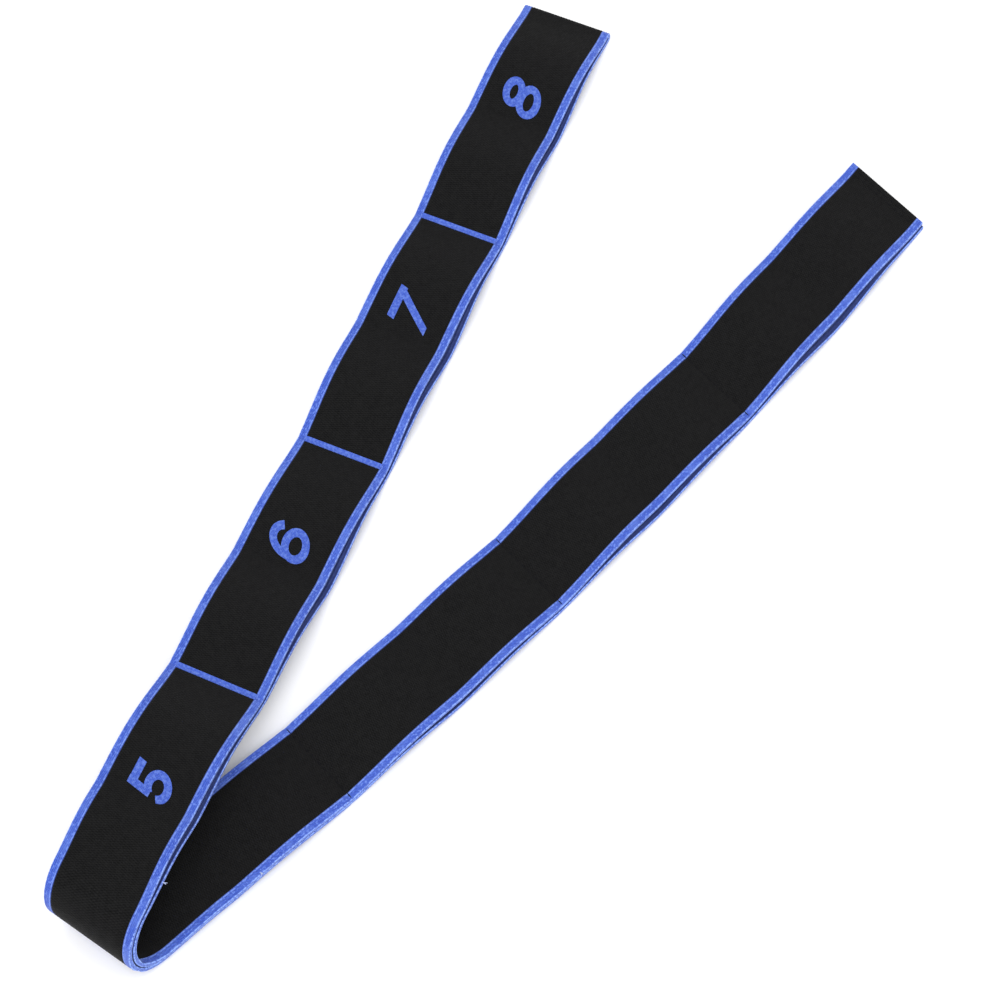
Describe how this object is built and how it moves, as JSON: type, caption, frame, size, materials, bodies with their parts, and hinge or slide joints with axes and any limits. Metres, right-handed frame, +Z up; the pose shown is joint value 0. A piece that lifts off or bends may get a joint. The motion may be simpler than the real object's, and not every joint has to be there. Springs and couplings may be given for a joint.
{
  "type": "stretching strap",
  "caption": "Elastic exercise strap: a doubled woven tape with blue borders, sewn across into a row of numbered loops, lying folded over in a V.",
  "frame": {"origin": "on the table, below the middle of the resting strap", "axes": "+Z up from the table, +Y away along the strap's longer side, +X to the right"},
  "size_m": [0.3324, 0.4286, 0.0321],
  "materials": {
    "black_elastic": "matte",
    "blue_yarn": "satin",
    "ink": "matte",
    "thread": "matte"
  },
  "bodies": {
    "loop_1": {"front_face_1": "black_elastic", "front_border_1": "blue_yarn", "numeral_1": "ink", "end_hem": "black_elastic", "end_hem_border": "blue_yarn", "hem_stitches": "thread"},
    "loop_1_opening_face": {"back_face_1": "black_elastic", "back_border_1": "blue_yarn"},
    "loop_2": {"front_face_2": "black_elastic", "front_border_2": "blue_yarn", "numeral_2": "ink", "cross_seam_1": "black_elastic", "cross_line_1": "blue_yarn"},
    "loop_2_opening_face": {"back_face_2": "black_elastic", "back_border_2": "blue_yarn"},
    "loop_3": {"front_face_3": "black_elastic", "front_border_3": "blue_yarn", "numeral_3": "ink", "cross_seam_2": "black_elastic", "cross_line_2": "blue_yarn"},
    "loop_3_opening_face": {"back_face_3": "black_elastic", "back_border_3": "blue_yarn"},
    "loop_4": {"back_face_4": "black_elastic", "back_border_4": "blue_yarn", "cross_seam_3": "black_elastic", "cross_line_3": "blue_yarn", "cross_seam_4": "black_elastic", "cross_line_4": "blue_yarn"},
    "loop_4_opening_face": {"front_face_4": "black_elastic", "front_border_4": "blue_yarn", "numeral_4": "ink"},
    "loop_5": {"back_face_5": "black_elastic", "back_border_5": "blue_yarn", "cross_seam_5": "black_elastic", "cross_line_5": "blue_yarn"},
    "loop_5_opening_face": {"front_face_5": "black_elastic", "front_border_5": "blue_yarn", "numeral_5": "ink"},
    "loop_6": {"back_face_6": "black_elastic", "back_border_6": "blue_yarn", "cross_seam_6": "black_elastic", "cross_line_6": "blue_yarn"},
    "loop_6_opening_face": {"front_face_6": "black_elastic", "front_border_6": "blue_yarn", "numeral_6": "ink"},
    "loop_7": {"back_face_7": "black_elastic", "back_border_7": "blue_yarn", "cross_seam_7": "black_elastic", "cross_line_7": "blue_yarn"},
    "loop_7_opening_face": {"front_face_7": "black_elastic", "front_border_7": "blue_yarn", "numeral_7": "ink"},
    "loop_8": {"back_face_8": "black_elastic", "back_border_8": "blue_yarn", "end_fold": "black_elastic", "end_fold_border": "blue_yarn"},
    "loop_8_opening_face": {"front_face_8": "black_elastic", "front_border_8": "blue_yarn", "numeral_8": "ink"}
  },
  "joints": [
    {"name": "fold_3_4", "type": "hinge", "parent": "loop_4", "child": "loop_3", "pos_m": [-0.07171, -0.13196, 0.00215], "axis": [0.6679, -0.7442, 0], "range_deg": [-120, 0]},
    {"name": "fold_2_3", "type": "hinge", "parent": "loop_3", "child": "loop_2", "pos_m": [0.00606, -0.05319, 0.00215], "axis": [-0.6696, 0.7427, 0], "range_deg": [-120, 0]},
    {"name": "fold_1_2", "type": "hinge", "parent": "loop_2", "child": "loop_1", "pos_m": [0.07948, 0.02869, 0.00215], "axis": [0.6712, -0.7413, 0], "range_deg": [-120, 0]},
    {"name": "fold_4_5", "type": "hinge", "parent": "loop_4", "child": "loop_5", "pos_m": [-0.15083, -0.20361, 0.01465], "axis": [-0.7929, 0.5697, -0.2162], "range_deg": [-150, 0]},
    {"name": "fold_5_6", "type": "hinge", "parent": "loop_5", "child": "loop_6", "pos_m": [-0.10962, -0.10472, 0.01418], "axis": [-0.9181, 0.3935, 0.0463], "range_deg": [-120, 0]},
    {"name": "fold_6_7", "type": "hinge", "parent": "loop_6", "child": "loop_7", "pos_m": [-0.0655, -0.00178, 0.00215], "axis": [0.9191, -0.3939, 0], "range_deg": [-120, 0]},
    {"name": "fold_7_8", "type": "hinge", "parent": "loop_7", "child": "loop_8", "pos_m": [-0.02138, 0.10117, 0.00215], "axis": [-0.9191, 0.3939, 0], "range_deg": [-120, 0]},
    {"name": "open_loop_1", "type": "slide", "parent": "loop_1", "child": "loop_1_opening_face", "axis": [0, 0, 1], "range_m": [0, 0.02]},
    {"name": "open_loop_2", "type": "slide", "parent": "loop_2", "child": "loop_2_opening_face", "axis": [0, 0, 1], "range_m": [0, 0.02]},
    {"name": "open_loop_3", "type": "slide", "parent": "loop_3", "child": "loop_3_opening_face", "axis": [0, 0, 1], "range_m": [0, 0.02]},
    {"name": "open_loop_4", "type": "slide", "parent": "loop_4", "child": "loop_4_opening_face", "axis": [0, 0, -1], "range_m": [0, 0.02]},
    {"name": "open_loop_5", "type": "slide", "parent": "loop_5", "child": "loop_5_opening_face", "axis": [0, 0, 1], "range_m": [0, 0.02]},
    {"name": "open_loop_6", "type": "slide", "parent": "loop_6", "child": "loop_6_opening_face", "axis": [0, 0, 1], "range_m": [0, 0.02]},
    {"name": "open_loop_7", "type": "slide", "parent": "loop_7", "child": "loop_7_opening_face", "axis": [0, 0, 1], "range_m": [0, 0.02]},
    {"name": "open_loop_8", "type": "slide", "parent": "loop_8", "child": "loop_8_opening_face", "axis": [0, 0, 1], "range_m": [0, 0.02]}
  ]
}
